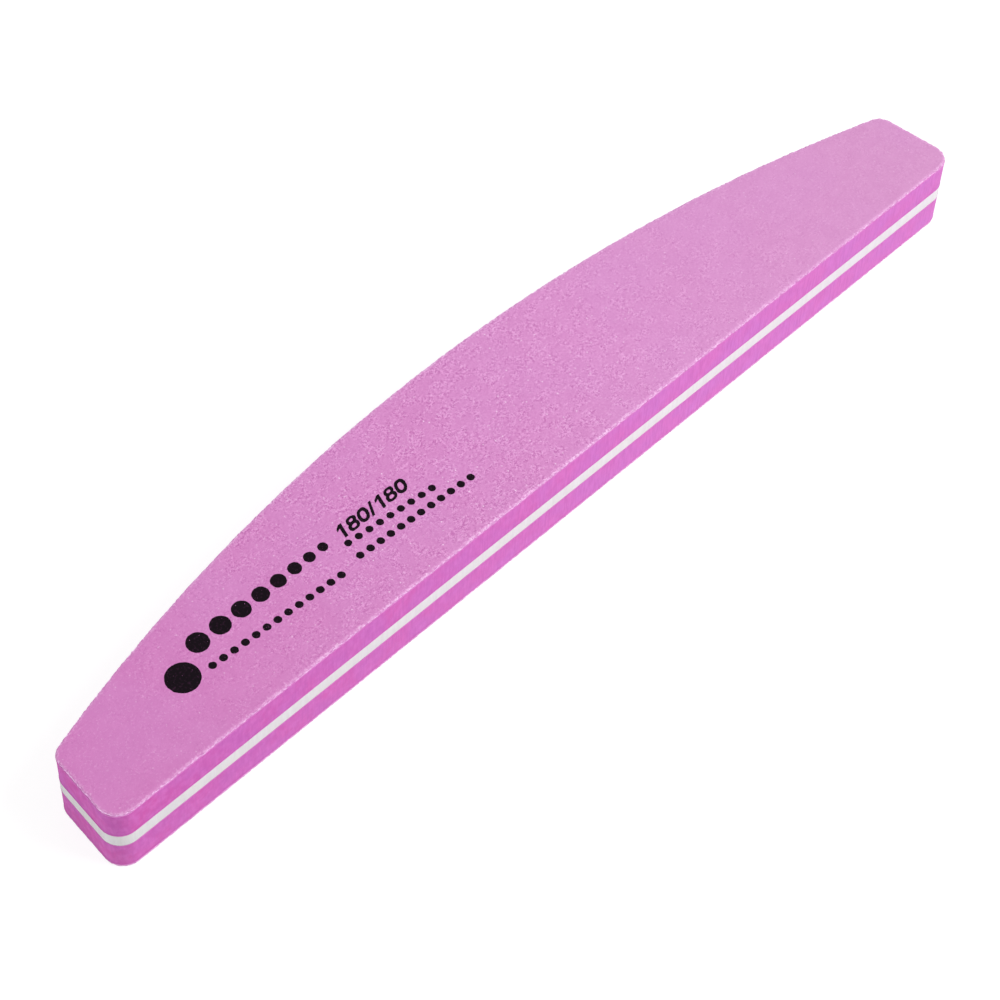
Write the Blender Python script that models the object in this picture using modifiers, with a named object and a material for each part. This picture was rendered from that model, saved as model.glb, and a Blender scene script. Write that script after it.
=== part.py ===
"""Half-moon nail buffer.

A stiff plastic core board lies between two foam pads, and each pad is faced with coated abrasive sheet. All the
layers are bonded into one flat block and die-cut to one outline: a straight edge, an arched edge and two short
end edges that lean in, with rounded corners.

Metres, +Z up. The block lies on its lower abrasive face. X runs along the straight edge, which faces -Y, and the
origin is on the resting face, under the middle of the block's bounding box.
"""

import math

import bmesh
import bpy
from mathutils import Vector

MM = 0.001

# The die-cut outline, seen from above
LENGTH = 178.0 * MM  # over the two rounded front corners
WIDTH = 27.8 * MM  # straight edge to the crown of the arch
END_DEPTH = 14.3 * MM  # straight edge to where an end edge and the arch would meet, unrounded
END_RAKE = math.radians(5.5)  # how far an end edge leans in from square
FRONT_CORNER_RADIUS = 3.2 * MM
BACK_CORNER_RADIUS = 2.8 * MM

# The layers, named from the middle outwards
CORE_THICKNESS = 2.4 * MM
CORE_ADHESIVE_THICKNESS = 0.08 * MM
FOAM_THICKNESS = 4.8 * MM
SHEET_ADHESIVE_THICKNESS = 0.08 * MM
BACKING_THICKNESS = 0.25 * MM
GRIT_COAT_THICKNESS = 0.20 * MM
RIM_RADIUS = 0.09 * MM  # the die rolls the outer rim of each grit coat over
BOND_CLEARANCE = 0.02 * MM  # between every two layers

# Fineness of the rounded stretches
CORNER_STEPS = 8
ARCH_STEPS = 24  # in each half of the arch
RIM_STEPS = 2
WELD_DISTANCE = 0.001 * MM
FLAT_ANGLE = math.radians(0.1)  # two faces that meet at less lie in one plane
SHARP_ANGLE = math.radians(30.0)


def arc(centre, radius, start, end, steps):
    """Points along an arc, both ends included."""
    turns = (start + (end - start) * step / steps for step in range(steps + 1))
    return [centre + radius * Vector((math.cos(turn), math.sin(turn))) for turn in turns]


def angle_of(direction):
    return math.atan2(direction.y, direction.x)


def right_half_outline():
    """The outline from the right front corner round to the crown, with the straight edge on y = 0.

    The front corner is tangent to the straight edge and the end edge. The back corner is tangent to the end edge
    and the arch, whose radius follows from the width, the end depth and the end edge's reach.
    """
    outward = Vector((math.cos(END_RAKE), math.sin(END_RAKE)))
    along_end = Vector((-outward.y, outward.x))

    front_centre = Vector((LENGTH / 2 - FRONT_CORNER_RADIUS, FRONT_CORNER_RADIUS))
    end_start = front_centre + FRONT_CORNER_RADIUS * outward
    unrounded_corner = end_start + along_end * (END_DEPTH - end_start.y) / along_end.y

    rise = WIDTH - END_DEPTH
    arch_radius = (unrounded_corner.x**2 + rise**2) / (2 * rise)
    arch_centre = Vector((0, WIDTH - arch_radius))

    # The back corner's centre lies its radius inside the end edge, and its radius inside the arch
    inset_line = unrounded_corner - BACK_CORNER_RADIUS * outward - arch_centre
    along = inset_line.dot(along_end)
    reach = arch_radius - BACK_CORNER_RADIUS
    shift = -along + math.sqrt(along**2 - inset_line.length_squared + reach**2)
    back_centre = arch_centre + inset_line + shift * along_end
    arch_start = angle_of(back_centre - arch_centre)

    front_corner = arc(front_centre, FRONT_CORNER_RADIUS, -math.pi / 2, END_RAKE, CORNER_STEPS)
    back_corner = arc(back_centre, BACK_CORNER_RADIUS, END_RAKE, arch_start, CORNER_STEPS)
    arch = arc(arch_centre, arch_radius, arch_start, math.pi / 2, ARCH_STEPS)
    return front_corner + back_corner + arch[1:]


def outline():
    """The whole outline, counter-clockwise, centred between the straight edge and the crown."""
    right = [point - Vector((0, WIDTH / 2)) for point in right_half_outline()]
    left = [Vector((-point.x, point.y)) for point in reversed(right[:-1])]
    return right + left


def principled(name, colour, roughness):
    """A non-metallic material. colour is linear."""
    material = bpy.data.materials.new(name)
    material.use_nodes = True
    shader = material.node_tree.nodes["Principled BSDF"]
    shader.inputs["Base Color"].default_value = (*colour, 1.0)
    shader.inputs["Roughness"].default_value = roughness
    shader.inputs["Metallic"].default_value = 0.0
    material.diffuse_color = (*colour, 1.0)
    return material


def core_plastic():
    return principled("white core plastic", (0.86, 0.83, 0.82), 0.38)


def foam_rubber():
    return principled("magenta foam", (0.69, 0.16, 0.55), 0.85)


def bond_film():
    return principled("clear bond film", (0.78, 0.60, 0.74), 0.30)


def backing_paper():
    return principled("pale backing paper", (0.82, 0.60, 0.79), 0.80)


def grit():
    return principled("pink grit coat", (0.68, 0.28, 0.59), 0.90)


def flat_curve(name, thickness):
    """The outline as a filled flat curve, extruded to a thickness about its own plane."""
    curve = bpy.data.curves.new(name, "CURVE")
    curve.dimensions = "2D"
    curve.fill_mode = "BOTH"
    curve.extrude = thickness / 2
    corners = outline()
    spline = curve.splines.new("POLY")
    spline.points.add(len(corners) - 1)
    for point, corner in zip(spline.points, corners):
        point.co = (corner.x, corner.y, 0.0, 1.0)
    spline.use_cyclic_u = True
    return bpy.data.objects.new(name, curve)


def weld_and_clean(mesh):
    """Joins the caps to the sides, and makes each cap one face."""
    shape = bmesh.new()
    shape.from_mesh(mesh)
    bmesh.ops.remove_doubles(shape, verts=shape.verts, dist=WELD_DISTANCE)
    inside_caps = [
        edge
        for edge in shape.edges
        if edge.is_manifold
        and abs(edge.verts[0].co.z - edge.verts[1].co.z) < WELD_DISTANCE
        and edge.calc_face_angle() < FLAT_ANGLE
    ]
    bmesh.ops.dissolve_edges(shape, edges=inside_caps, use_verts=False)
    bmesh.ops.recalc_face_normals(shape, faces=shape.faces)
    shape.to_mesh(mesh)
    shape.free()


def layer(name, thickness, height, material, parts, assembly):
    """A plate of the shared outline, its middle at a height."""
    guide = flat_curve(name, thickness)
    parts.objects.link(guide)
    guide.location.z = height
    bpy.context.view_layer.update()
    graph = bpy.context.evaluated_depsgraph_get()
    mesh = bpy.data.meshes.new_from_object(guide.evaluated_get(graph))
    weld_and_clean(mesh)
    mesh.shade_smooth()
    mesh.set_sharp_from_angle(angle=SHARP_ANGLE)
    mesh.materials.clear()
    mesh.materials.append(material)
    place = guide.matrix_world.copy()
    bpy.data.objects.remove(guide)
    plate = bpy.data.objects.new(name, mesh)
    plate.matrix_world = place
    plate.parent = assembly
    parts.objects.link(plate)
    return plate


def roll_rim(plate, side):
    """Rounds the rim of a grit coat on its outer side, which is +1 above and -1 below."""
    mesh = plate.data
    weights = mesh.attributes.new("bevel_weight_edge", "FLOAT", "EDGE")
    for edge in mesh.edges:
        ends = [mesh.vertices[index].co for index in edge.vertices]
        if all(end.z * side > 0 for end in ends):
            weights.data[edge.index].value = 1.0
    bevel = plate.modifiers.new("rolled rim", "BEVEL")
    bevel.limit_method = "WEIGHT"
    bevel.offset_type = "OFFSET"
    bevel.width = RIM_RADIUS
    bevel.segments = RIM_STEPS


def faced_side(prefix, side, core_height, parts, assembly):
    """The layers on one side of the core board, from the core outwards."""
    film = bond_film()
    stack = (
        ("core_adhesive", CORE_ADHESIVE_THICKNESS, film),
        ("foam_pad", FOAM_THICKNESS, foam_rubber()),
        ("sheet_adhesive", SHEET_ADHESIVE_THICKNESS, film),
        ("abrasive_backing", BACKING_THICKNESS, backing_paper()),
        ("grit_coat", GRIT_COAT_THICKNESS, grit()),
    )
    inner_face = CORE_THICKNESS / 2
    for name, thickness, material in stack:
        inner_face += BOND_CLEARANCE
        height = core_height + side * (inner_face + thickness / 2)
        plate = layer(f"{prefix}_{name}", thickness, height, material, parts, assembly)
        inner_face += thickness
    roll_rim(plate, side)


def facing_thickness():
    """From a face of the core board to the outer face of the grit coat on that side."""
    layers = (
        CORE_ADHESIVE_THICKNESS,
        FOAM_THICKNESS,
        SHEET_ADHESIVE_THICKNESS,
        BACKING_THICKNESS,
        GRIT_COAT_THICKNESS,
    )
    return sum(layers) + BOND_CLEARANCE * len(layers)


def main():
    for old in list(bpy.data.objects):
        bpy.data.objects.remove(old)
    parts = bpy.data.collections.new("nail buffer")
    bpy.context.scene.collection.children.link(parts)
    assembly = bpy.data.objects.new("nail_buffer", None)
    parts.objects.link(assembly)

    core_height = facing_thickness() + CORE_THICKNESS / 2
    layer("core_board", CORE_THICKNESS, core_height, core_plastic(), parts, assembly)
    faced_side("lower", -1, core_height, parts, assembly)
    faced_side("upper", 1, core_height, parts, assembly)


main()
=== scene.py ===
"""The looks of a half-moon nail buffer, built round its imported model.

Every layer of the buffer is cut to one outline. slab() makes a layer as a closed mesh: rings that follow
the outline from the underside's rim, round the cut edge, to the upper side's rim, and two caps that fill
the rings. A layer's profile says how far each ring stands in from the outline and how high it lies, so
the grain, the ragged rims and the foam's drawn-in edges are all real geometry. The black print is thin
meshes laid on the grain.

Metres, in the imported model's frame: +X runs along the straight edge, which faces -Y, and +Z runs up
through the layers.
"""

import math

import bpy
import numpy as np
from mathutils import Euler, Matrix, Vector, noise
from mathutils.bvhtree import BVHTree
from mathutils.geometry import delaunay_2d_cdt
from mathutils.kdtree import KDTree

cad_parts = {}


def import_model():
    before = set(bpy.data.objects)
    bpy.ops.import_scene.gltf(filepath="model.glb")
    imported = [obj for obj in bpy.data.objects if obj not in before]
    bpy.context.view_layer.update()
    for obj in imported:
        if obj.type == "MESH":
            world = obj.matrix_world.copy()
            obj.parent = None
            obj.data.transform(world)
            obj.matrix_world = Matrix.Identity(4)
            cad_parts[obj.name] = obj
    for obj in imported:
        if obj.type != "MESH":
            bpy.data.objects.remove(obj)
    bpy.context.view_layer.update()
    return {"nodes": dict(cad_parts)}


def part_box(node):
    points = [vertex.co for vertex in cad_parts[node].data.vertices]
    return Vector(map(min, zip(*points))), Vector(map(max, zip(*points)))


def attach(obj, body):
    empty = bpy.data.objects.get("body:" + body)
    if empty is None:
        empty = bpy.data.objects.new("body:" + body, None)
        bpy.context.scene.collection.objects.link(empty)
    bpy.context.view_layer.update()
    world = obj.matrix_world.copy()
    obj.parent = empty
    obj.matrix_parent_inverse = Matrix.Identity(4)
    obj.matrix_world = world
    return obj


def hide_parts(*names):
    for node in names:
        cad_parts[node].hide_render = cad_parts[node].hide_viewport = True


MM = 0.001

# The die-cut outline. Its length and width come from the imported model.
END_DEPTH = 14.3 * MM  # straight edge to where an end edge and the arch would meet
END_RAKE = math.radians(5.5)
FRONT_CORNER_RADIUS = 3.2 * MM
BACK_CORNER_RADIUS = 2.8 * MM

# How fine the meshes are
GRAIN_SPACING = 0.27 * MM  # between grains on the abrasive faces
GRAIN_JITTER = 0.28  # of that spacing, either way
COAT_SPACING = 0.9 * GRAIN_SPACING  # along the coat's cut edge
FOAM_SPACING = 0.24 * MM
FOAM_ROWS = 19  # up the side of a pad
CORE_SPACING = 0.40 * MM
HIDDEN_SPACING = 3.0 * MM  # on caps that another layer covers
SHARP_ANGLE = math.radians(60.0)
SAME_PLACE = 1e-7  # in millimetres, how near two points are when a triangulation makes them one

# The abrasive coats. A side is +1 for the upper one and -1 for the lower one.
GRAIN_RELIEF = 0.020 * MM  # how far a grain stands up or down from its neighbours
CLUMP_RELIEF = 0.022 * MM
CLUMP_SIZE = 0.9 * MM
WAVE_RELIEF = 0.020 * MM
WAVE_SIZE = 7.0 * MM
COAT_INSET = 0.03 * MM  # the least that the cut edge stands in from the outline
COAT_SLANT = 0.01 * MM  # how much further in it is on the glued side
RAG_DEPTH = 0.34 * MM  # how far the cut edge wanders inwards
RAG_SIZE = 0.75 * MM
RAG_MEAN = 0.40  # of the depth
RAG_SWINGS = (0.50, 0.75)  # of the depth, by slow and by quick waves
RAG_LIMIT = 1.1  # of the depth
QUICK_WAVES = 2.7  # times as short as the slow ones
QUICK_STEP = 0.01  # how much further on the quick waves' noise is read
RIM_ZONE = 0.60 * MM  # how far in from the cut the coat rolls over
RIM_PROFILE = (  # inset beyond the ragged cut and depth below the face, in millimetres
    (0.00, 0.125),
    (0.04, 0.080),
    (0.11, 0.045),
    (0.22, 0.020),
    (0.38, 0.006),
    (0.60, 0.000),
)
RIM_WEAR = {1: 1.0, -1: 0.3}  # the die enters from above and leaves the lower rim cleaner
GRAIN_SEEDS = {1: 11, -1: 12}
NOISE_PLACE = 0.4  # where a coat's noise is read, times its side

# The backing papers
PAPER_INSET = 0.01 * MM
PAPER_CAP_INSET = 0.5 * MM  # of the ring round each glued face's cap
FRAY_DEPTH = 0.08 * MM
FRAY_SIZE = 0.5 * MM
FRAY_STEP = 0.0004  # between the paper's two faces, in the place where its noise is read
SHARED_RAG = 0.30  # of the coat's raggedness, which the paper under it has too

# The cut sides of the foam pads
FOAM_INSET = 0.035 * MM
FOAM_DRAW_IN = 0.015 * MM  # more, at the glued faces
FOAM_CAP_INSET = 0.6 * MM  # of the ring round each glued face's cap
FOAM_SWINGS = (0.008, 0.012, 0.010)  # of the die's strokes, slow waves and pores, in millimetres
FOAM_SIZES = (0.8 * MM, 5 * MM, 0.5 * MM)  # of the same
STROKE_RUN = 0.3  # how far the strokes' noise moves on up the side, in millimetres
WAVE_RUN = 2  # the same for the waves

# The cut edge of the core board
CORE_PROFILE = (  # inset in millimetres and share of the height, from the bottom up
    (0.60, 0.0),
    (0.07, 0.0),
    (0.03, 0.02),
    (0.02, 0.06),
    (0.015, 0.28),
    (0.01, 0.50),
    (0.015, 0.72),
    (0.02, 0.94),
    (0.03, 0.98),
    (0.07, 1.0),
    (0.60, 1.0),
)
CORE_SWING = 0.006  # by slow waves, in millimetres
CORE_WAVE_SIZE = 3 * MM

# The print on the upper face
INK_LIFT = 0.012 * MM  # over the grains
INK_DEPTH = 0.030 * MM  # into them
INK_SPACING = 0.16 * MM
INK_WANDER = 0.050 * MM  # how far the grains push the print's edge about
INK_WANDER_SIZE = 0.42 * MM
INK_SHARP_ANGLE = math.radians(50.0)
PRINT_LEAN = 0.30  # sideways per unit of height

# The camera and the light
LENS = 102.30
SENSOR = 36.0
CAMERA_PLACE = Vector((-201.11, -181.33, 339.35)) * MM
CAMERA_AIM = Vector((-13.42, -11.66, 13.42)) * MM
CAMERA_ROLL = math.radians(2.793)
CLIP_START = 0.01
CLIP_END = 100.0
WORLD_LIGHT = 0.58
KEY_PLACE = Vector((0.42, -0.56, 0.72))
KEY_SIZE = 0.50
KEY_POWER = 6.2
FILL_PLACE = Vector((-0.72, 0.36, 0.15))
FILL_SIZE = 0.40
FILL_POWER = 1.2
FLOOR_HALF = 4.0
FLOOR_PALE = 0.86  # to the light that falls on it
FLOOR_GLOW = 0.82  # of white, which the floor by the buffer gives off for the camera alone
FLOOR_GREY = 0.28  # what it adds to that from the light that falls on it, so that a shadow shows
FLOOR_REACH = (0.09, 0.15)  # from the middle, over which the floor turns plain white

# Along the straight edge
PAINTED_LIGHT_STOPS = (-85.0 * MM, 20.0 * MM, 85.0 * MM)  # where a colour has a tone of its own, for the light and shade painted along the buffer, darkest at the left end
# Where the grain is finest and coarsest, from the left end, and again to the right end
GRAIN_STOPS = (-82.0 * MM, -15.0 * MM, -12.0 * MM, 72.0 * MM)
FINEST_GRAIN = (0.18, 0.19)  # of the coarsest one's contrast, at the left and the right end


def srgb(red, green, blue):
    """A colour given as a screen shows it, 0 to 255, as linear values with full alpha."""
    shares = (red / 255, green / 255, blue / 255)
    linear = (s / 12.92 if s <= 0.04045 else ((s + 0.055) / 1.055) ** 2.4 for s in shares)
    return (*linear, 1.0)


# Outline and layers


def stretch(start, end, spacing):
    """Points along a straight stretch, the end left out, and the outward direction at each."""
    steps = max(1, round((end - start).length / spacing))
    along = (end - start).normalized()
    outward = (along.y, -along.x)
    return [(start.lerp(end, step / steps), outward) for step in range(steps)]


def bend(centre, radius, start, end, spacing):
    """The same along an arc."""
    steps = max(1, round(radius * (end - start) / spacing))
    turns = [start + (end - start) * step / steps for step in range(steps)]
    outwards = [Vector((math.cos(turn), math.sin(turn))) for turn in turns]
    return [(centre + radius * outward, outward) for outward in outwards]


def angle_of(direction):
    return math.atan2(direction.y, direction.x)


def outline(length, width, spacing):
    """Points round the outline and the outward direction at each.

    They run counter-clockwise from the middle of the straight edge.
    """
    outward = Vector((math.cos(END_RAKE), math.sin(END_RAKE)))
    along_end = Vector((-outward.y, outward.x))
    front_centre = Vector((length / 2 - FRONT_CORNER_RADIUS, FRONT_CORNER_RADIUS))
    end_start = front_centre + FRONT_CORNER_RADIUS * outward
    unrounded_corner = end_start + along_end * (END_DEPTH - end_start.y) / along_end.y

    rise = width - END_DEPTH
    arch_radius = (unrounded_corner.x**2 + rise**2) / (2 * rise)
    arch_centre = Vector((0, width - arch_radius))
    inset_line = unrounded_corner - BACK_CORNER_RADIUS * outward - arch_centre
    along = inset_line.dot(along_end)
    reach = arch_radius - BACK_CORNER_RADIUS
    shift = -along + math.sqrt(along**2 - inset_line.length_squared + reach**2)
    back_centre = arch_centre + inset_line + shift * along_end
    arch_start = angle_of(back_centre - arch_centre)

    right = (
        stretch(Vector((0, 0)), Vector((front_centre.x, 0)), spacing)
        + bend(front_centre, FRONT_CORNER_RADIUS, -math.pi / 2, END_RAKE, spacing)
        + stretch(end_start, back_centre + BACK_CORNER_RADIUS * outward, spacing)
        + bend(back_centre, BACK_CORNER_RADIUS, END_RAKE, arch_start, spacing)
        + bend(arch_centre, arch_radius, arch_start, math.pi / 2, spacing)
    )
    crown = [(Vector((0, width)), Vector((0, 1)))]
    left = [(Vector((-at.x, at.y)), (-out[0], out[1])) for at, out in reversed(right[1:])]
    whole = right + crown + left
    points = np.array([(at.x, at.y - width / 2) for at, out in whole])
    outwards = np.array([(out[0], out[1]) for at, out in whole])
    return points, outwards


def smooth_noise(places, size):
    """Smooth noise from -1 to 1 at each place, with features of about that size."""
    return np.array([noise.noise(Vector(place)) for place in np.asarray(places) / size])


def flat_places(points, height):
    """The points with a third coordinate."""
    return np.column_stack([points, np.full(len(points), height)])


def search_tree(rim):
    """Finds the nearest of a rim's points."""
    tree = KDTree(len(rim))
    for index, place in enumerate(rim):
        tree.insert((place[0], place[1], 0.0), index)
    tree.balance()
    return tree


def inner_grid(rim, margin, spacing, rng=None):
    """Points of a triangular grid inside a closed rim, at least a margin from it.

    They are shaken where rng is given.
    """
    low = rim.min(0)
    high = rim.max(0)
    rows = np.arange(low[1], high[1], spacing * math.sqrt(3) / 2)
    columns = np.arange(low[0], high[0], spacing)
    x, y = np.meshgrid(columns, rows)
    x[1::2] += spacing / 2
    grid = np.column_stack([x.ravel(), y.ravel()])
    if rng is not None:
        grid += rng.uniform(-GRAIN_JITTER, GRAIN_JITTER, grid.shape) * spacing

    tree = search_tree(rim)
    following = np.roll(rim, -1, axis=0) - rim
    kept = []
    for place in grid:
        at, index, distance = tree.find((place[0], place[1], 0.0))
        edge = following[index]
        inwards = edge[0] * (place[1] - at.y) - edge[1] * (place[0] - at.x)
        if distance > margin and inwards > 0:
            kept.append(place)
    return np.array(kept).reshape(-1, 2)


def triangulated(places, edges, kind):
    """Faces over flat places in millimetres, which keep the edges. With kind 1 they stay inside them."""
    made = delaunay_2d_cdt(places, edges, [], kind, SAME_PLACE)
    faces, sources = made[2], made[3]
    return [[sources[corner][0] for corner in face] for face in faces]


def fill(rim, inside):
    """Triangles over a closed rim and the points inside it, facing up. The rim's points count first."""
    flat = [Vector(place) for place in np.vstack([rim, inside]) / MM]
    edges = [(index, (index + 1) % len(rim)) for index in range(len(rim))]
    return triangulated(flat, edges, 1)


def new_object(name, data):
    made = bpy.data.objects.new(name, data)
    bpy.context.scene.collection.objects.link(made)
    return made


def new_mesh(name, places, faces, sharp_angle):
    """A smooth-shaded mesh object, sharp where its faces meet at more than an angle."""
    mesh = bpy.data.meshes.new(name)
    mesh.from_pydata(places, [], faces)
    mesh.shade_smooth()
    mesh.set_sharp_from_angle(angle=sharp_angle)
    return new_object(name, mesh)


def slab(name, rings, top_inside, bottom_inside):
    """A closed plate: rings from the underside's rim to the upper side's, and the two caps.

    rings are arrays of three coordinates a point. top_inside and bottom_inside are the caps' own points.
    """
    count = len(rings[0])
    last = len(rings) - 1
    sides = []
    for ring in range(last):
        for index in range(count):
            after = (index + 1) % count
            lower = ring * count
            upper = lower + count
            sides.append((lower + index, lower + after, upper + after, upper + index))

    places = np.vstack([*rings, bottom_inside, top_inside])
    bottom_start = count * len(rings)
    top_start = bottom_start + len(bottom_inside)

    def numbered(corner, rim_start, inside_start):
        """A cap's corner, as the whole mesh counts it."""
        return rim_start + corner if corner < count else inside_start + corner - count

    bottom = [
        [numbered(corner, 0, bottom_start) for corner in reversed(face)]
        for face in fill(rings[0][:, :2], bottom_inside[:, :2])
    ]
    top = [
        [numbered(corner, last * count, top_start) for corner in face]
        for face in fill(rings[last][:, :2], top_inside[:, :2])
    ]
    return new_mesh(name, places.tolist(), sides + bottom + top, SHARP_ANGLE)


def ring_at(points, outwards, inset, height):
    """One ring: the outline drawn in by an inset, at a height. Both are one number or one a point."""
    drawn_in = points - outwards * np.broadcast_to(inset, len(points))[:, None]
    return np.column_stack([drawn_in, np.broadcast_to(height, len(points))])


def hidden_cap(ring, height):
    """The inner points of a cap that another layer covers."""
    return flat_places(inner_grid(ring[:, :2], HIDDEN_SPACING / 2, HIDDEN_SPACING), height)


def edge_attribute(piece, rim):
    """Stores each vertex's distance from the cut edge, in millimetres, for the material to read."""
    tree = search_tree(rim)
    attribute = piece.data.attributes.new("from_edge", "FLOAT", "POINT")
    for vertex in piece.data.vertices:
        distance = tree.find((vertex.co.x, vertex.co.y, 0.0))[2]
        attribute.data[vertex.index].value = distance / MM


# Materials


def add(tree, kind, inputs=None, **settings):
    """A node with its settings, and with its inputs linked to other nodes' outputs or set to values."""
    made = tree.nodes.new(kind)
    for setting, value in settings.items():
        setattr(made, setting, value)
    for socket, value in (inputs or {}).items():
        if isinstance(value, bpy.types.NodeSocket):
            tree.links.new(value, made.inputs[socket])
        else:
            made.inputs[socket].default_value = value
    return made


def new_material(name, roughness, **constants):
    """A Principled material. The constants are other inputs of its shader."""
    material = bpy.data.materials.new(name)
    material.use_nodes = True
    tree = material.node_tree
    shader = tree.nodes["Principled BSDF"]
    shader.inputs["Roughness"].default_value = roughness
    for socket, value in constants.items():
        shader.inputs[socket.replace("_", " ")].default_value = value
    return material, tree, shader


def millimetres(tree, stretch_by=(1, 1, 1)):
    """The place on the surface in millimetres, stretched for grain that runs one way."""
    place = add(tree, "ShaderNodeTexCoord").outputs["Object"]
    scale = tuple(share / MM for share in stretch_by)
    return add(
        tree, "ShaderNodeVectorMath", {0: place, 1: scale}, operation="MULTIPLY"
    ).outputs["Vector"]


def noise_at(tree, place, scale, detail, roughness=0.5):
    """Noise whose scale is its features a millimetre."""
    return add(
        tree,
        "ShaderNodeTexNoise",
        {"Vector": place, "Scale": scale, "Detail": detail, "Roughness": roughness},
    ).outputs["Fac"]


def cells_at(tree, place, scale):
    """Voronoi cells, so many a millimetre: a random value for each, and the distance from its middle."""
    cells = add(tree, "ShaderNodeTexVoronoi", {"Vector": place, "Scale": scale})
    parts = add(tree, "ShaderNodeSeparateColor", {"Color": cells.outputs["Color"]})
    return parts.outputs["Red"], cells.outputs["Distance"]


def remap(tree, value, low, high, to_low=0.0, to_high=1.0, kind="LINEAR"):
    return add(
        tree,
        "ShaderNodeMapRange",
        {"Value": value, "From Min": low, "From Max": high, "To Min": to_low, "To Max": to_high},
        interpolation_type=kind,
    ).outputs["Result"]


def combine(tree, operation, first, second):
    return add(tree, "ShaderNodeMath", {0: first, 1: second}, operation=operation).outputs["Value"]


def product(tree, first, second):
    return combine(tree, "MULTIPLY", first, second)


def total(tree, first, second):
    return combine(tree, "ADD", first, second)


def mix(tree, factor, first, second):
    """Two colours mixed."""
    made = tree.nodes.new("ShaderNodeMix")
    made.data_type = "RGBA"
    for socket, value in (("Factor_Float", factor), ("A_Color", first), ("B_Color", second)):
        found = next(s for s in made.inputs if s.identifier == socket)
        if isinstance(value, bpy.types.NodeSocket):
            tree.links.new(value, found)
        else:
            found.default_value = value
    return next(s for s in made.outputs if s.identifier == "Result_Color")


def bump(tree, shader, height, distance, strength):
    """Bumps the shader's surface. The distance is the height's full swing."""
    made = add(tree, "ShaderNodeBump", {"Height": height, "Distance": distance, "Strength": strength})
    tree.links.new(made.outputs["Normal"], shader.inputs["Normal"])


def along_edge(tree):
    """The place along the straight edge."""
    place = add(tree, "ShaderNodeTexCoord").outputs["Object"]
    return add(tree, "ShaderNodeSeparateXYZ", {"Vector": place}).outputs["X"]


def painted_light_lengthwise(tree, left, middle, right):
    """Painted light and shade along the buffer: a colour that goes evenly from the left end's, the
    darkest, past one near the middle, to the right end's.
    """
    along = along_edge(tree)
    start, turn, end = PAINTED_LIGHT_STOPS
    to_middle = mix(tree, remap(tree, along, start, turn), left, middle)
    return mix(tree, remap(tree, along, turn, end), to_middle, right)


def coarseness(tree):
    """1 left of the buffer's middle, less towards its ends, where the grain is finer and more even."""
    along = along_edge(tree)
    left_end, left, right, right_end = GRAIN_STOPS
    at_left, at_right = FINEST_GRAIN
    rise = remap(tree, along, left_end, left, at_left, 1.0, "SMOOTHSTEP")
    fall = remap(tree, along, right, right_end, 1.0, at_right, "SMOOTHSTEP")
    return product(tree, rise, fall)


def swung(tree, value, swing):
    """A value about a half, with its swing multiplied."""
    off_half = combine(tree, "SUBTRACT", value, 0.5)
    return total(tree, product(tree, off_half, swing), 0.5)


def grain_tone(tree, place, fine, swing):
    """Dark and light grains, slow patches and clouds of the dye, and painted shade in the pits between
    the grains.
    """
    broad = remap(tree, noise_at(tree, place, 2.1, 2.0, 0.55), 0.32, 0.68)
    grain = total(tree, product(tree, broad, 0.45), remap(tree, fine, 0.30, 0.70, 0.0, 0.55))
    grain = swung(tree, grain, product(tree, swing, 1.5))
    # The grains' tones carry painted light and shade along the buffer, darkest at the left end
    dark = painted_light_lengthwise(tree, srgb(187, 95, 166), srgb(195, 114, 179), srgb(191, 117, 176))
    light = painted_light_lengthwise(tree, srgb(227, 148, 208), srgb(236, 169, 223), srgb(231, 173, 218))
    tone = mix(tree, grain, dark, light)

    patch = noise_at(tree, place, 0.42, 2.0)
    tone = mix(tree, remap(tree, patch, 0.38, 0.62, 0.0, 0.14), tone, dark)
    cloud = noise_at(tree, place, 0.07, 3.0)
    tone = mix(tree, remap(tree, cloud, 0.40, 0.62, 0.0, 0.20), tone, srgb(213, 146, 206))

    # Painted shade in the pits between the grains
    pit = noise_at(tree, millimetres(tree, (1.0, 1.0, 1.3)), 2.7, 2.0, 0.6)
    depth = remap(tree, swing, 0.0, 1.9, 0.52, 2.0)
    pit_shade = product(tree, remap(tree, pit, 0.35, 0.27, 0.0, 0.40), depth)
    return mix(tree, pit_shade, tone, srgb(172, 90, 158))


def with_flecks(tree, tone, place, swing):
    """The tone with pale chipped flecks, which crowd towards the cut and crumble along it."""
    from_edge = add(tree, "ShaderNodeAttribute", attribute_name="from_edge").outputs["Fac"]
    near_cut = remap(tree, from_edge, 0.15, 0.80, 1.0, 0.0, "SMOOTHSTEP")
    at_cut = remap(tree, from_edge, 0.22, 0.58, 1.0, 0.0, "SMOOTHSTEP")
    tone = mix(tree, product(tree, near_cut, 0.12), tone, srgb(238, 186, 228))

    crumbs = remap(tree, noise_at(tree, place, 1.1, 2.0), 0.42, 0.60, 0.0, 0.13)
    drift = remap(tree, noise_at(tree, place, 0.30, 2.0), 0.40, 0.62, 0.0, 0.05)
    crowded = total(tree, noise_at(tree, place, 3.0, 2.0, 0.6), product(tree, near_cut, 0.06))
    crowded = total(tree, crowded, product(tree, at_cut, crumbs))
    crowded = total(tree, crowded, drift)
    fleck = product(
        tree,
        remap(tree, crowded, 0.60, 0.67),
        remap(tree, near_cut, 0.0, 1.0, 0.68, 0.70),
    )
    fleck = product(tree, fleck, remap(tree, swing, 0.0, 1.6, 0.25, 1.0))
    pale = mix(tree, near_cut, srgb(238, 182, 228), srgb(253, 214, 248))
    return mix(tree, fleck, tone, pale)


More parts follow.
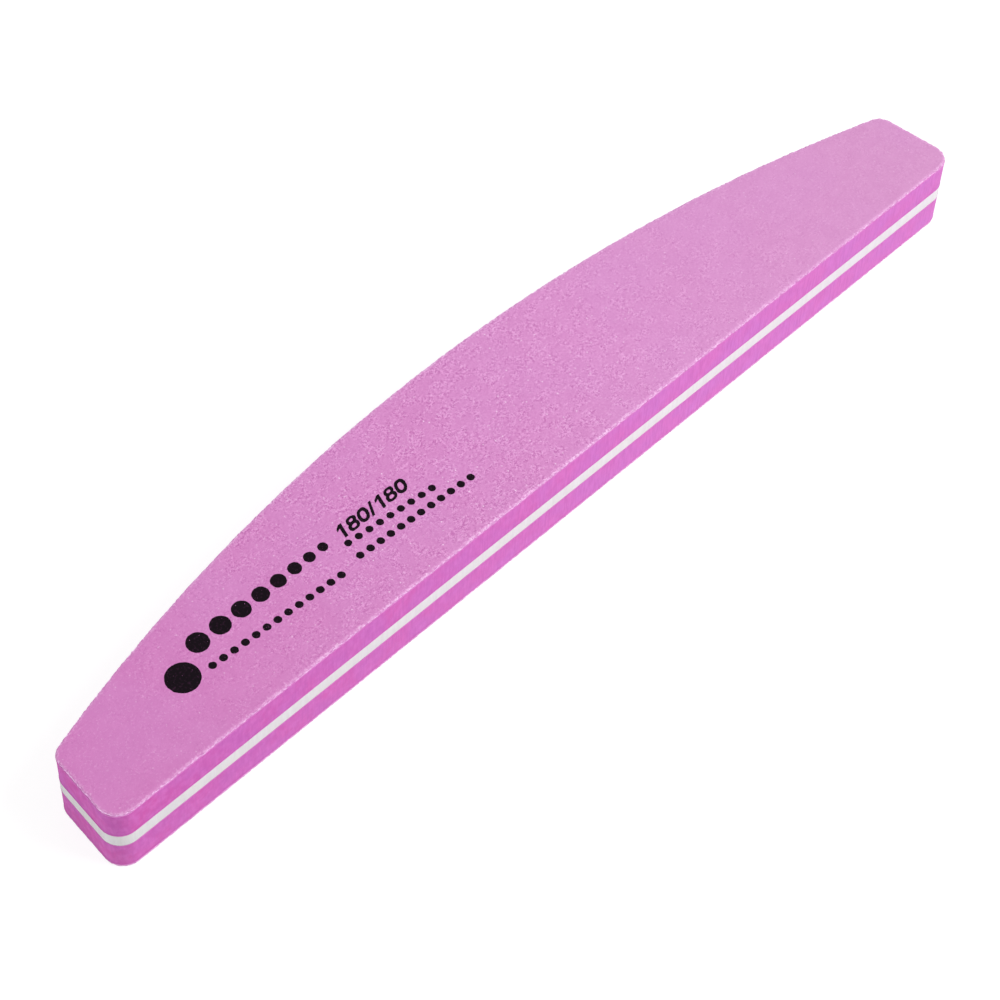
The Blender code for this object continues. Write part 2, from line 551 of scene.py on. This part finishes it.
def with_sparkles(tree, tone, place, coarse):
    """The tone with painted glints on a few grains, fainter where the grain is fine."""
    cell, from_middle = cells_at(tree, place, 2.2)
    sparkle = product(
        tree,
        remap(tree, cell, 0.955, 0.970),
        remap(tree, from_middle, 0.10, 0.34, 1.0, 0.0),
    )
    sparkle = product(tree, sparkle, remap(tree, coarse, 0.16, 1.0, 0.27, 0.85))
    return mix(tree, sparkle, tone, srgb(253, 226, 249))


def grit_finish():
    """Fine pink mineral grains bonded in resin."""
    material, tree, shader = new_material("pink grit", 0.72, Specular_IOR_Level=0.3)
    place = millimetres(tree)
    coarse = coarseness(tree)
    uneven = remap(tree, noise_at(tree, place, 0.58, 2.0), 0.40, 0.60, 0.36, 1.86)
    swing = product(tree, uneven, coarse)
    fine = noise_at(tree, place, 4.8, 3.0, 0.6)
    tone = grain_tone(tree, place, fine, swing)
    tone = with_flecks(tree, tone, place, swing)
    tone = with_sparkles(tree, tone, place, coarse)
    tree.links.new(tone, shader.inputs["Base Color"])

    cell, from_middle = cells_at(tree, place, 3.4)
    relief = total(tree, fine, remap(tree, from_middle, 0.0, 0.6, 0.6, 0.0))
    bump(tree, shader, relief, 0.05 * MM, remap(tree, swing, 0.2, 1.9, 0.25, 0.75))
    tree.links.new(remap(tree, cell, 0.0, 1.0, 0.55, 0.85), shader.inputs["Roughness"])
    return material


def paper_finish():
    """The cut edge of the backing paper: pale, fibrous, in thin plies."""
    material, tree, shader = new_material("backing paper", 0.85, Specular_IOR_Level=0.3)
    fibres = noise_at(tree, millimetres(tree, (1, 1, 3)), 1.9, 3.0, 0.60)
    blot = noise_at(tree, millimetres(tree), 0.5, 2.0)
    tone = mix(tree, remap(tree, fibres, 0.38, 0.62), srgb(208, 126, 195), srgb(255, 214, 252))
    tone = mix(tree, remap(tree, blot, 0.4, 0.7, 0.0, 0.35), tone, srgb(230, 160, 218))
    tree.links.new(tone, shader.inputs["Base Color"])
    bump(tree, shader, fibres, 0.04 * MM, 0.6)
    return material


def film_finish():
    """A clear glue line, which takes the colour of the foam behind it."""
    material, tree, shader = new_material("bond film", 0.45, Specular_IOR_Level=0.45)
    blot = noise_at(tree, millimetres(tree), 1.2, 2.0)
    tone = mix(tree, remap(tree, blot, 0.3, 0.7), srgb(212, 116, 192), srgb(222, 134, 207))
    tree.links.new(tone, shader.inputs["Base Color"])
    bump(tree, shader, blot, 0.02 * MM, 0.4)
    return material


def foam_finish():
    """Dense magenta foam: tiny closed cells with painted shade in them, faint strokes of the die, and
    dye from rose to violet.
    """
    material, tree, shader = new_material("magenta foam", 0.70, Specular_IOR_Level=0.3)
    place = millimetres(tree)
    strokes = noise_at(tree, millimetres(tree, (1, 1, 0.12)), 2.6, 3.0, 0.6)
    drift = noise_at(tree, place, 0.19, 3.0, 0.5)
    mottle = noise_at(tree, place, 0.8, 3.0, 0.55)
    # The dye's tones carry painted light and shade along the pad, darkest at the left end
    rose = painted_light_lengthwise(tree, srgb(205, 84, 172), srgb(218, 113, 197), srgb(215, 115, 196))
    violet = painted_light_lengthwise(tree, srgb(196, 91, 181), srgb(211, 118, 205), srgb(208, 120, 204))
    tone = mix(tree, remap(tree, drift, 0.38, 0.62), rose, violet)
    tone = mix(tree, remap(tree, mottle, 0.38, 0.64, 0.0, 0.45), tone, srgb(222, 124, 208))
    tone = mix(tree, remap(tree, strokes, 0.40, 0.66, 0.0, 0.45), tone, srgb(190, 88, 174))

    # Painted light: the lower pad paler low down, towards the face it rests on
    height = add(tree, "ShaderNodeSeparateXYZ", {"Vector": place}).outputs["Z"]
    tone = mix(tree, remap(tree, height, 1.5, 7.0, 0.09, 0.0), tone, srgb(228, 162, 222))

    cell, from_middle = cells_at(tree, place, 4.2)
    pore = product(
        tree,
        remap(tree, cell, 0.80, 0.86),
        remap(tree, from_middle, 0.12, 0.30, 1.0, 0.0),
    )
    # Painted shade in the pores, which the bump below also dents
    tone = mix(tree, product(tree, pore, 0.30), tone, srgb(170, 72, 154))
    tree.links.new(tone, shader.inputs["Base Color"])
    relief = combine(tree, "SUBTRACT", strokes, product(tree, pore, 0.8))
    bump(tree, shader, relief, 0.05 * MM, 0.35)
    return material


def core_finish():
    """White plastic board with a cut edge: faint die strokes and a satin shine."""
    material, tree, shader = new_material("white core plastic", 0.42, Specular_IOR_Level=0.5)
    strokes = noise_at(tree, millimetres(tree, (1, 1, 0.10)), 2.2, 3.0, 0.55)
    blot = noise_at(tree, millimetres(tree), 0.3, 2.0)
    # The board's tones carry painted light and shade along it, darkest at the left end
    dull = painted_light_lengthwise(tree, srgb(216, 215, 217), srgb(227, 222, 227), srgb(225, 219, 226))
    clean = painted_light_lengthwise(tree, srgb(226, 227, 228), srgb(237, 234, 237), srgb(232, 229, 235))
    tone = mix(tree, remap(tree, strokes, 0.3, 0.7), dull, clean)
    tone = mix(tree, remap(tree, blot, 0.4, 0.7, 0.0, 0.4), tone, srgb(229, 225, 219))
    tree.links.new(tone, shader.inputs["Base Color"])
    tree.links.new(remap(tree, strokes, 0.3, 0.7, 0.34, 0.52), shader.inputs["Roughness"])
    bump(tree, shader, strokes, 0.03 * MM, 0.4)
    return material


def ink_finish():
    """Screen-printed black, slightly thin over the highest grains."""
    material, tree, shader = new_material("black print", 0.80, Specular_IOR_Level=0.08)
    blot = noise_at(tree, millimetres(tree), 2.4, 3.0, 0.6)
    tone = mix(tree, remap(tree, blot, 0.55, 0.82), srgb(16, 7, 15), srgb(66, 34, 60))
    pinhole = noise_at(tree, millimetres(tree), 3.6, 2.0, 0.5)
    tone = mix(tree, remap(tree, pinhole, 0.71, 0.79, 0.0, 0.5), tone, srgb(176, 106, 160))
    tree.links.new(tone, shader.inputs["Base Color"])
    bump(tree, shader, blot, 0.03 * MM, 0.5)
    return material


# The layers


def rag(points, depth, size, seed):
    """How far the cut edge wanders inwards at each point, from 0 to about the depth."""
    slow = smooth_noise(flat_places(points, seed), size)
    quick = smooth_noise(flat_places(points, seed + QUICK_STEP), size / QUICK_WAVES)
    slow_swing, quick_swing = RAG_SWINGS
    return depth * np.clip(RAG_MEAN + slow_swing * slow + quick_swing * quick, 0.0, RAG_LIMIT)


def grain(places, seed, rng):
    """Relief of the abrasive coat: separate grains, clumps of them, and a slow unevenness."""
    clumps = smooth_noise(flat_places(places[:, :2], seed), CLUMP_SIZE)
    waves = smooth_noise(flat_places(places[:, :2], seed), WAVE_SIZE)
    grains = rng.uniform(-1, 1, len(places))
    return GRAIN_RELIEF * grains + CLUMP_RELIEF * clumps + WAVE_RELIEF * waves


def grit_coat(name, node, side, length, width):
    """An abrasive coat in its node's place, whose rim rolls over and thins towards the cut."""
    low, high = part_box(node)
    outer, inner = (high.z, low.z) if side > 0 else (low.z, high.z)
    points, outwards = outline(length, width, COAT_SPACING)
    rng = np.random.default_rng(GRAIN_SEEDS[side])
    seed = side * NOISE_PLACE
    wear = RIM_WEAR[side]
    ragged = wear * (COAT_INSET + rag(points, RAG_DEPTH, RAG_SIZE, seed))
    highest = GRAIN_RELIEF + CLUMP_RELIEF + WAVE_RELIEF + INK_LIFT
    face = outer - side * highest

    rings = [
        ring_at(points, outwards, RIM_ZONE, inner),
        ring_at(points, outwards, ragged + COAT_SLANT, inner),
    ]
    for inset, drop in RIM_PROFILE:
        share = inset * MM / RIM_ZONE
        at = inset * MM + ragged * (1 - share)
        ring = ring_at(points, outwards, at, face - side * wear * drop * MM)
        # The grains stand half as high at the cut
        ring[:, 2] += side * grain(ring, seed, rng) * (0.5 + 0.5 * share)
        rings.append(ring)

    clear = GRAIN_SPACING * 0.75
    inside = inner_grid(rings[-1][:, :2], clear, GRAIN_SPACING, rng)
    outer_inside = flat_places(inside, face)
    outer_inside[:, 2] += side * grain(outer_inside, seed, rng)
    hidden = hidden_cap(rings[0], inner)
    if side > 0:
        made = slab(name, rings, outer_inside, hidden)
    else:
        made = slab(name, rings[::-1], hidden, outer_inside)
    edge_attribute(made, points)
    return made


def layer(name, node, spacing, profile, length, width):
    """A layer in its node's place.

    profile gives each ring's inset and share of the height, from the bottom up.
    """
    low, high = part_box(node)
    points, outwards = outline(length, width, spacing)
    rings = [
        ring_at(points, outwards, inset(points, share), low.z + share * (high.z - low.z))
        for inset, share in profile
    ]
    return slab(name, rings, hidden_cap(rings[-1], high.z), hidden_cap(rings[0], low.z))


def even(inset):
    """An inset for a profile that is the same all round."""
    return lambda points, share: np.full(len(points), inset)


def backing(name, node, side, length, width):
    """The backing paper, whose cut edge is frayed a little."""
    seed = side * NOISE_PLACE

    def frayed(points, share):
        with_coat = rag(points, RAG_DEPTH, RAG_SIZE, seed)
        own = rag(points, FRAY_DEPTH, FRAY_SIZE, seed + share * FRAY_STEP)
        return PAPER_INSET + RIM_WEAR[side] * (SHARED_RAG * with_coat + own)

    rim = even(PAPER_CAP_INSET)
    profile = [(rim, 0.0), (frayed, 0.0), (frayed, 0.33), (frayed, 0.67), (frayed, 1.0), (rim, 1.0)]
    return layer(name, node, FOAM_SPACING, profile, length, width)


def foam_pad(name, node, length, width):
    """A foam pad: its cut side draws in towards both glued faces and carries the die's faint strokes."""
    low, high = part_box(node)
    stroke_swing, wave_swing, pore_swing = FOAM_SWINGS
    stroke_size, wave_size, pore_size = FOAM_SIZES

    def side_inset(points, share):
        drawn_in = FOAM_DRAW_IN * abs(2 * share - 1) ** 5
        strokes = smooth_noise(flat_places(points, share * STROKE_RUN * MM + low.z), stroke_size)
        waves = smooth_noise(flat_places(points, share * WAVE_RUN * MM + low.z), wave_size)
        pores = smooth_noise(flat_places(points, share * (high.z - low.z) + low.z), pore_size)
        uneven = stroke_swing * strokes + wave_swing * waves + pore_swing * pores
        return FOAM_INSET + drawn_in + MM * uneven

    rim = even(FOAM_CAP_INSET)
    profile = [(rim, 0.0)]
    profile += [(side_inset, row / FOAM_ROWS) for row in range(FOAM_ROWS + 1)]
    profile += [(rim, 1.0)]
    return layer(name, node, FOAM_SPACING, profile, length, width)


def core_plate(name, node, length, width):
    """The core board, with its cut edge just broken."""

    def wavy(inset):
        """An inset in millimetres, with slow waves."""

        def at(points, share):
            waves = smooth_noise(flat_places(points, share * WAVE_RUN * MM), CORE_WAVE_SIZE)
            return MM * (inset + CORE_SWING * waves)

        return at

    profile = [(wavy(inset), share) for inset, share in CORE_PROFILE]
    return layer(name, node, CORE_SPACING, profile, length, width)


# The print


def leaning(centre, places, lean=PRINT_LEAN):
    """Places about a centre, leaned over and moved to it."""
    return [Vector((centre.x + x + lean * y, centre.y + y)) for x, y in places]


def round_loop(centre, half_width, half_height, squareness=2.0, lean=PRINT_LEAN):
    """A closed loop about a centre: an ellipse, or squarer."""
    steps = max(16, round(2 * math.pi * max(half_width, half_height) / INK_SPACING))
    places = []
    for step in range(steps):
        turn = 2 * math.pi * step / steps
        across, up = math.cos(turn), math.sin(turn)
        x = math.copysign(abs(across) ** (2 / squareness), across) * half_width
        y = math.copysign(abs(up) ** (2 / squareness), up) * half_height
        places.append((x, y))
    return leaning(centre, places, lean)


def zero(centre, height, half_width, stroke):
    """A nought: two loops."""
    outer = round_loop(centre, half_width, height / 2, squareness=2.3)
    inner = round_loop(centre, half_width - stroke, height / 2 - stroke * 0.9, squareness=2.2)
    return [outer, inner]


def joined(below, above):
    """The outer loop of two that overlap, one above the other."""
    in_above = [index for index, place in enumerate(below) if inside_loops(place, [above])]
    in_below = [index for index, place in enumerate(above) if inside_loops(place, [below])]
    upper_part = above[in_below[-1] + 1 :] + above[: in_below[0]]
    return below[: in_above[0]] + upper_part + below[in_above[-1] + 1 :]


def eight(centre, height, half_width, stroke):
    """An eight: two bowls that overlap at the waist, the upper one smaller."""
    bowls = (
        (-0.20 * height, half_width, 0.30 * height),
        (0.22 * height, 0.90 * half_width, 0.28 * height),
    )
    outers, inners = [], []
    for rise, across, up in bowls:
        middle = centre + Vector((PRINT_LEAN * rise, rise))
        outers.append(round_loop(middle, across, up, squareness=2.4))
        inners.append(round_loop(middle, across - stroke, up - 0.75 * stroke, squareness=2.2))
    return [joined(*outers), *inners]


def one(centre, height, stroke):
    """A one with a flag and no foot. The centre is its stem's."""
    top = height / 2
    left = -stroke / 2
    tip = left - 0.24 * height
    stem = [(left, -top), (-left, -top), (-left, top), (left * 0.75, top)]
    flag = [(tip, top - 0.22 * height), (tip, top - 0.39 * height), (left, top - 0.27 * height)]
    return [leaning(centre, stem + flag)]


def slash(centre, height, stroke):
    """A slash that leans more than the figures, in a thinner stroke."""
    half = stroke * 0.42
    top = height / 2
    lean = 0.12 * height
    corners = [(-lean - half, -top), (-lean + half, -top), (lean + half, top), (lean - half, top)]
    return [leaning(centre, corners)]


def inside_loops(place, loops):
    """Whether a place lies inside an odd number of loops."""
    crossings = 0
    for loop in loops:
        for first, second in zip(loop, loop[1:] + loop[:1]):
            if (first.y > place.y) != (second.y > place.y):
                share = (place.y - first.y) / (second.y - first.y)
                crossings += place.x < first.x + share * (second.x - first.x)
    return crossings % 2 == 1


def densified(loop):
    """The loop with more points on its long stretches."""
    places = []
    for first, second in zip(loop, loop[1:] + loop[:1]):
        steps = max(1, round((second - first).length / INK_SPACING))
        places += [first.lerp(second, step / steps) for step in range(steps)]
    return places


def roughened(loop):
    """The loop as ink prints on grains, with an edge that wanders a little."""
    places = []
    for place in loop:
        across = noise.noise(Vector((place.x, place.y, 0.0)) / INK_WANDER_SIZE)
        up = noise.noise(Vector((place.x, place.y, MM)) / INK_WANDER_SIZE)
        places.append(place + INK_WANDER * Vector((across, up)))
    return places


def ink_shape(loops, surface, top_of_surface):
    """Vertices and faces of one printed shape: a film that follows the grains under it."""
    loops = [roughened(densified(loop)) for loop in loops]
    rims = np.array([tuple(place) for loop in loops for place in loop])
    low, high = rims.min(0), rims.max(0)
    x, y = np.meshgrid(
        np.arange(low[0], high[0], INK_SPACING), np.arange(low[1], high[1], INK_SPACING)
    )
    grid = [Vector((a, b)) for a, b in zip(x.ravel(), y.ravel())]
    clear = INK_SPACING * 0.55
    inside = [
        place
        for place in grid
        if inside_loops(place, loops)
        and np.hypot(rims[:, 0] - place.x, rims[:, 1] - place.y).min() > clear
    ]
    flat = [Vector(place) for place in rims] + inside
    edges = []
    start = 0
    for loop in loops:
        edges += [(start + index, start + (index + 1) % len(loop)) for index in range(len(loop))]
        start += len(loop)
    faces = [
        face
        for face in triangulated([place / MM for place in flat], edges, 0)
        if inside_loops(sum((flat[corner] for corner in face), Vector((0, 0))) / 3, loops)
    ]

    upper, lower = [], []
    for place in flat:
        start_at = Vector((place.x, place.y, top_of_surface + MM))
        height = surface.ray_cast(start_at, Vector((0, 0, -1)))[0].z
        upper.append((place.x, place.y, height + INK_LIFT))
        lower.append((place.x, place.y, height - INK_DEPTH))
    count = len(flat)
    sides = [
        (start_index + count, end_index + count, end_index, start_index)
        for start_index, end_index in directed_rims(faces)
    ]
    caps = faces + [[corner + count for corner in reversed(face)] for face in faces]
    return upper + lower, caps + sides


def directed_rims(faces):
    """The faces' outer edges, in the order that each face runs."""
    runs = {(a, b) for face in faces for a, b in zip(face, face[1:] + face[:1])}
    return sorted(run for run in runs if (run[1], run[0]) not in runs)


def printed(name, shapes, surface, top_of_surface):
    """One piece of print, made of several shapes."""
    places, faces = [], []
    for loops in shapes:
        new_places, new_faces = ink_shape(loops, surface, top_of_surface)
        faces += [[corner + len(places) for corner in face] for face in new_faces]
        places += new_places
    return new_mesh(name, places, faces, INK_SHARP_ANGLE)


def grit_number():
    """A plain number for the grit on each side, 180/180."""
    height = 2.4 * MM
    half_width = 1.02 * MM
    stroke = 0.58 * MM
    row = 0.31 * MM
    stems = (-33.47 * MM, -25.87 * MM)
    eights = (-31.54 * MM, -24.01 * MM)
    noughts = (-29.42 * MM, -21.88 * MM)
    shapes = [one(Vector((x, row)), height, stroke) for x in stems]
    shapes += [eight(Vector((x, row)), height, half_width, stroke) for x in eights]
    shapes += [zero(Vector((x, row)), height, half_width, stroke) for x in noughts]
    shapes.append(slash(Vector((-27.80 * MM, row)), height, stroke))
    return shapes


def dot(centre, diameter):
    return [round_loop(centre, diameter / 2, diameter / 2, lean=0.0)]


def shrinking_dots(start, end, first, last, count):
    """Dots from one place to another, whose diameters step from first to last, with even gaps."""
    diameters = [first + (last - first) * index / (count - 1) for index in range(count)]
    reach = (end - start).length
    gap = (reach - sum(diameters)) / (count - 1)
    shapes = []
    edge = 0.0
    for diameter in diameters:
        shapes.append(dot(start.lerp(end, (edge + diameter / 2) / reach), diameter))
        edge += diameter + gap
    return shapes


def coarse_to_fine_dots():
    """A large dot, and a row of dots that shrink from coarse to fine."""
    large = dot(Vector((-66.9, -2.7)) * MM, 5.2 * MM)
    start, end = Vector((-63.2, 0.3)) * MM, Vector((-36.8, 0.2)) * MM
    return [large, *shrinking_dots(start, end, 3.5 * MM, 1.6 * MM, 8)]


def dotted_rows():
    """Three rows of small even dots."""
    rows = (  # the two ends and the diameter in millimetres, and the count
        ((-63.2, -4.0), (-38.5, -5.3), 1.25, 13),
        ((-35.1, -1.8), (-18.3, -3.2), 1.20, 9),
        ((-35.4, -4.6), (-12.8, -5.7), 1.25, 12),
    )
    shapes = []
    for start, end, diameter, count in rows:
        size = diameter * MM
        shapes += shrinking_dots(Vector(start) * MM, Vector(end) * MM, size, size, count)
    return shapes


# Camera, floor and light


def add_camera():
    data = bpy.data.cameras.new("camera")
    data.sensor_fit = "HORIZONTAL"
    data.sensor_width = SENSOR
    data.lens = LENS
    data.clip_start = CLIP_START
    data.clip_end = CLIP_END
    camera = new_object("camera", data)
    camera.location = CAMERA_PLACE
    aim = (CAMERA_AIM - CAMERA_PLACE).to_track_quat("-Z", "Y")
    camera.rotation_mode = "QUATERNION"
    camera.rotation_quaternion = aim @ Euler((0, 0, CAMERA_ROLL)).to_quaternion()
    bpy.context.scene.camera = camera


def floor_material():
    """Pale for the light that falls on it. The camera sees it white, with the soft shadow kept."""
    material = bpy.data.materials.new("pale floor")
    material.use_nodes = True
    tree = material.node_tree
    tree.nodes.clear()
    pale = add(tree, "ShaderNodeBsdfDiffuse", {"Color": (FLOOR_PALE, FLOOR_PALE, FLOOR_PALE, 1.0)})
    lit = add(tree, "ShaderNodeBsdfDiffuse", {"Color": (FLOOR_GREY, FLOOR_GREY, FLOOR_GREY, 1.0)})
    place = add(tree, "ShaderNodeTexCoord").outputs["Object"]
    distance = add(tree, "ShaderNodeVectorMath", {0: place}, operation="LENGTH").outputs["Value"]
    glow = remap(tree, distance, *FLOOR_REACH, FLOOR_GLOW, 1.0, "SMOOTHSTEP")
    white = add(tree, "ShaderNodeEmission", {"Color": (1.0, 1.0, 1.0, 1.0), "Strength": glow})
    seen = add(tree, "ShaderNodeAddShader", {0: lit.outputs[0], 1: white.outputs[0]})
    by_camera = add(tree, "ShaderNodeLightPath").outputs["Is Camera Ray"]
    both = add(tree, "ShaderNodeMixShader", {0: by_camera, 1: pale.outputs[0], 2: seen.outputs[0]})
    out = add(tree, "ShaderNodeOutputMaterial")
    tree.links.new(both.outputs[0], out.inputs["Surface"])
    return material


def add_floor():
    mesh = bpy.data.meshes.new("floor")
    corners = [
        (-FLOOR_HALF, -FLOOR_HALF, 0),
        (FLOOR_HALF, -FLOOR_HALF, 0),
        (FLOOR_HALF, FLOOR_HALF, 0),
        (-FLOOR_HALF, FLOOR_HALF, 0),
    ]
    mesh.from_pydata(corners, [], [(0, 1, 2, 3)])
    mesh.materials.append(floor_material())
    floor = new_object("floor", mesh)


def add_world():
    """White to the eye and in reflections, and a soft even light on everything else."""
    world = bpy.data.worlds.new("studio")
    world.use_nodes = True
    tree = world.node_tree
    tree.nodes.clear()
    path = add(tree, "ShaderNodeLightPath")
    seen = combine(tree, "MAXIMUM", path.outputs["Is Camera Ray"], path.outputs["Is Glossy Ray"])
    seen = combine(tree, "MAXIMUM", seen, path.outputs["Is Transmission Ray"])
    light = add(
        tree, "ShaderNodeBackground", {"Color": (1.0, 1.0, 1.0, 1.0), "Strength": WORLD_LIGHT}
    )
    white = add(tree, "ShaderNodeBackground", {"Color": (1.0, 1.0, 1.0, 1.0), "Strength": 1.0})
    both = add(tree, "ShaderNodeMixShader", {0: seen, 1: light.outputs[0], 2: white.outputs[0]})
    out = add(tree, "ShaderNodeOutputWorld")
    tree.links.new(both.outputs[0], out.inputs["Surface"])
    bpy.context.scene.world = world


def add_lamp(name, place, size, power):
    """A square soft box that faces the buffer."""
    data = bpy.data.lights.new(name, "AREA")
    data.shape = "SQUARE"
    data.size = size
    data.energy = power
    lamp = new_object(name, data)
    lamp.location = place
    lamp.rotation_euler = (-Vector(place)).to_track_quat("-Z", "Y").to_euler()


def dress(piece, node, material):
    """Puts a finished piece in its node's place."""
    piece.data.materials.clear()
    piece.data.materials.append(material)
    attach(piece, "root")
    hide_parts(node)


def dress_side(prefix, side, length, width, finishes):
    """Replaces the coat, the paper and the foam on one side of the core board, and gives the coat."""
    node = f"{prefix}_grit_coat"
    coat = grit_coat(f"{prefix}_grit_face", node, side, length, width)
    dress(coat, node, finishes["grit"])
    node = f"{prefix}_abrasive_backing"
    sheet = backing(f"{prefix}_backing_paper", node, side, length, width)
    dress(sheet, node, finishes["paper"])
    node = f"{prefix}_foam_pad"
    pad = foam_pad(f"{prefix}_foam", node, length, width)
    dress(pad, node, finishes["foam"])
    return coat


def lay_print(coat, ink):
    """Prints on the upper coat."""
    surface = BVHTree.FromPolygons(
        [vertex.co for vertex in coat.data.vertices],
        [polygon.vertices for polygon in coat.data.polygons],
    )
    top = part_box("upper_grit_coat")[1].z
    prints = {
        "grit_number": grit_number(),
        "coarse_to_fine_dots": coarse_to_fine_dots(),
        "dotted_rows": dotted_rows(),
    }
    for name, shapes in prints.items():
        piece = printed(name, shapes, surface, top)
        piece.data.materials.append(ink)
        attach(piece, "root")


def main():
    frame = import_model()
    bpy.context.scene.view_settings.view_transform = "Standard"

    low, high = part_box("core_board")
    length = high.x - low.x
    width = high.y - low.y

    add_camera()
    add_world()
    add_floor()
    add_lamp("key", KEY_PLACE, KEY_SIZE, KEY_POWER)
    add_lamp("fill", FILL_PLACE, FILL_SIZE, FILL_POWER)

    finishes = {"grit": grit_finish(), "paper": paper_finish(), "foam": foam_finish()}
    upper_coat = dress_side("upper", 1, length, width, finishes)
    dress_side("lower", -1, length, width, finishes)
    core = core_plate("core_plate", "core_board", length, width)
    dress(core, "core_board", core_finish())

    film = film_finish()
    for prefix in ("upper", "lower"):
        for name in (f"{prefix}_core_adhesive", f"{prefix}_sheet_adhesive"):
            frame["nodes"][name].data.materials.clear()
            frame["nodes"][name].data.materials.append(film)

    lay_print(upper_coat, ink_finish())


main()
